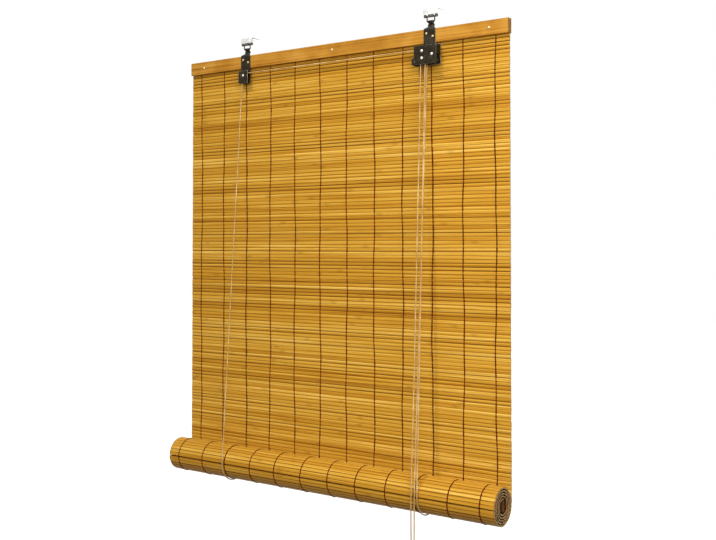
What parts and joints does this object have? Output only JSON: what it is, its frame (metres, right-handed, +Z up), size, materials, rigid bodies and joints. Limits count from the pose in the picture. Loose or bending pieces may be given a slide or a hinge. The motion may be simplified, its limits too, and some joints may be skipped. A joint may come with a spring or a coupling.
{
  "type": "bamboo roll-up blind",
  "caption": "Bamboo roll-up blind on ceiling plates: slatted mat, front-wound roll at its foot, black steel brackets, sheaves, cord lock and pull cords.",
  "frame": {"origin": "midway between the two ceiling screw holes, on the ceiling plane", "axes": "+Z up to the ceiling, +X to the right along the width seen from the front, -Y to the front"},
  "size_m": [0.8, 0.0812, 1.0783],
  "materials": {
    "zinc_plate": "zinc plated",
    "dark_wire": "blackened wire",
    "bamboo_lath": "varnished bamboo",
    "bamboo_slats": "varnished split bamboo",
    "black_steel": "black enamel, speckled",
    "bright_steel": "bright plated",
    "warp_thread": "brown thread",
    "cotton_cord": "cream twisted cord",
    "sheave_nylon": "moulded nylon"
  },
  "bodies": {
    "ceiling_plates": {"left_plate": "zinc_plate", "right_plate": "zinc_plate"},
    "links": {"left_link": "dark_wire", "right_link": "dark_wire"},
    "head": {"front_lath": "bamboo_lath", "rear_lath": "bamboo_lath", "rail_screws": "bright_steel", "strap_screws": "bright_steel", "left_strap": "black_steel", "right_strap": "black_steel", "pulley_cover": "black_steel", "lock_cover": "black_steel", "pulley_rivet": "bright_steel", "lock_rivets": "bright_steel", "hanging_mat": "bamboo_slats", "warp_threads": "warp_thread", "cord_staples": "bright_steel", "cross_cord": "cotton_cord", "left_lift_cord": "cotton_cord", "right_lift_cord": "cotton_cord", "left_rear_cord": "cotton_cord", "right_rear_cord": "cotton_cord", "left_pull_cord": "cotton_cord", "right_pull_cord": "cotton_cord"},
    "left_pulley": {"left_sheave": "sheave_nylon"},
    "rear_lock_pulley": {"rear_lock_sheave": "sheave_nylon"},
    "front_lock_pulley": {"front_lock_sheave": "sheave_nylon"},
    "cam": {"lock_cam": "bright_steel"},
    "carriage": {"left_cord_loop": "cotton_cord", "right_cord_loop": "cotton_cord", "left_pull_end": "cotton_cord", "right_pull_end": "cotton_cord"},
    "roll": {"mat_roll": "bamboo_slats", "roll_threads": "warp_thread", "bottom_lath": "bamboo_lath"},
    "pull_ends": {"pull_knot": "cotton_cord"}
  },
  "joints": [
    {"name": "link_swing", "type": "hinge", "parent": "ceiling_plates", "child": "links", "pos_m": [0, -0.0092, -0.0135], "axis": [1, 0, 0], "range_deg": [-20, 20]},
    {"name": "blind_swing", "type": "hinge", "parent": "links", "child": "head", "pos_m": [0, -0.0092, -0.0245], "axis": [1, 0, 0], "range_deg": [-20, 20]},
    {"name": "roll_lift", "type": "slide", "parent": "head", "child": "carriage", "axis": [0, -0.0227, 0.9997], "range_m": [0, 0.673], "deforming": ["hanging_mat", "warp_threads", "left_lift_cord", "right_lift_cord", "left_rear_cord", "right_rear_cord", "left_pull_cord", "right_pull_cord"]},
    {"name": "roll_turn", "type": "hinge", "parent": "carriage", "child": "roll", "pos_m": [0, -0.02189, -0.92432], "axis": [1, 0, 0], "range_deg": [-1080, 0]},
    {"name": "cord_pull", "type": "slide", "parent": "carriage", "child": "pull_ends", "axis": [0, -0.0227, 0.9997], "range_m": [-2.02, 0], "deforming": ["left_pull_end", "right_pull_end"]},
    {"name": "left_pulley_spin", "type": "hinge", "parent": "head", "child": "left_pulley", "pos_m": [-0.234, -0.01775, -0.08421], "axis": [0, 0.9997, 0.0227], "continuous": true},
    {"name": "rear_lock_pulley_spin", "type": "hinge", "parent": "head", "child": "rear_lock_pulley", "pos_m": [0.2265, -0.01775, -0.08421], "axis": [0, 0.9997, 0.0227], "continuous": true},
    {"name": "front_lock_pulley_spin", "type": "hinge", "parent": "head", "child": "front_lock_pulley", "pos_m": [0.2265, -0.02475, -0.08437], "axis": [0, 0.9997, 0.0227], "continuous": true},
    {"name": "cam_turn", "type": "hinge", "parent": "head", "child": "cam", "pos_m": [0.2265, -0.02103, -0.09829], "axis": [0, 0.9997, 0.0227], "range_deg": [0, 60]}
  ],
  "couplings": [
    {"joint": "roll_turn", "follows": "roll_lift", "rad_per_m": -28.008},
    {"joint": "cord_pull", "follows": "roll_lift", "ratio": -3},
    {"joint": "left_pulley_spin", "follows": "roll_lift", "rad_per_m": 400},
    {"joint": "rear_lock_pulley_spin", "follows": "roll_lift", "rad_per_m": 400},
    {"joint": "front_lock_pulley_spin", "follows": "roll_lift", "rad_per_m": -400}
  ]
}
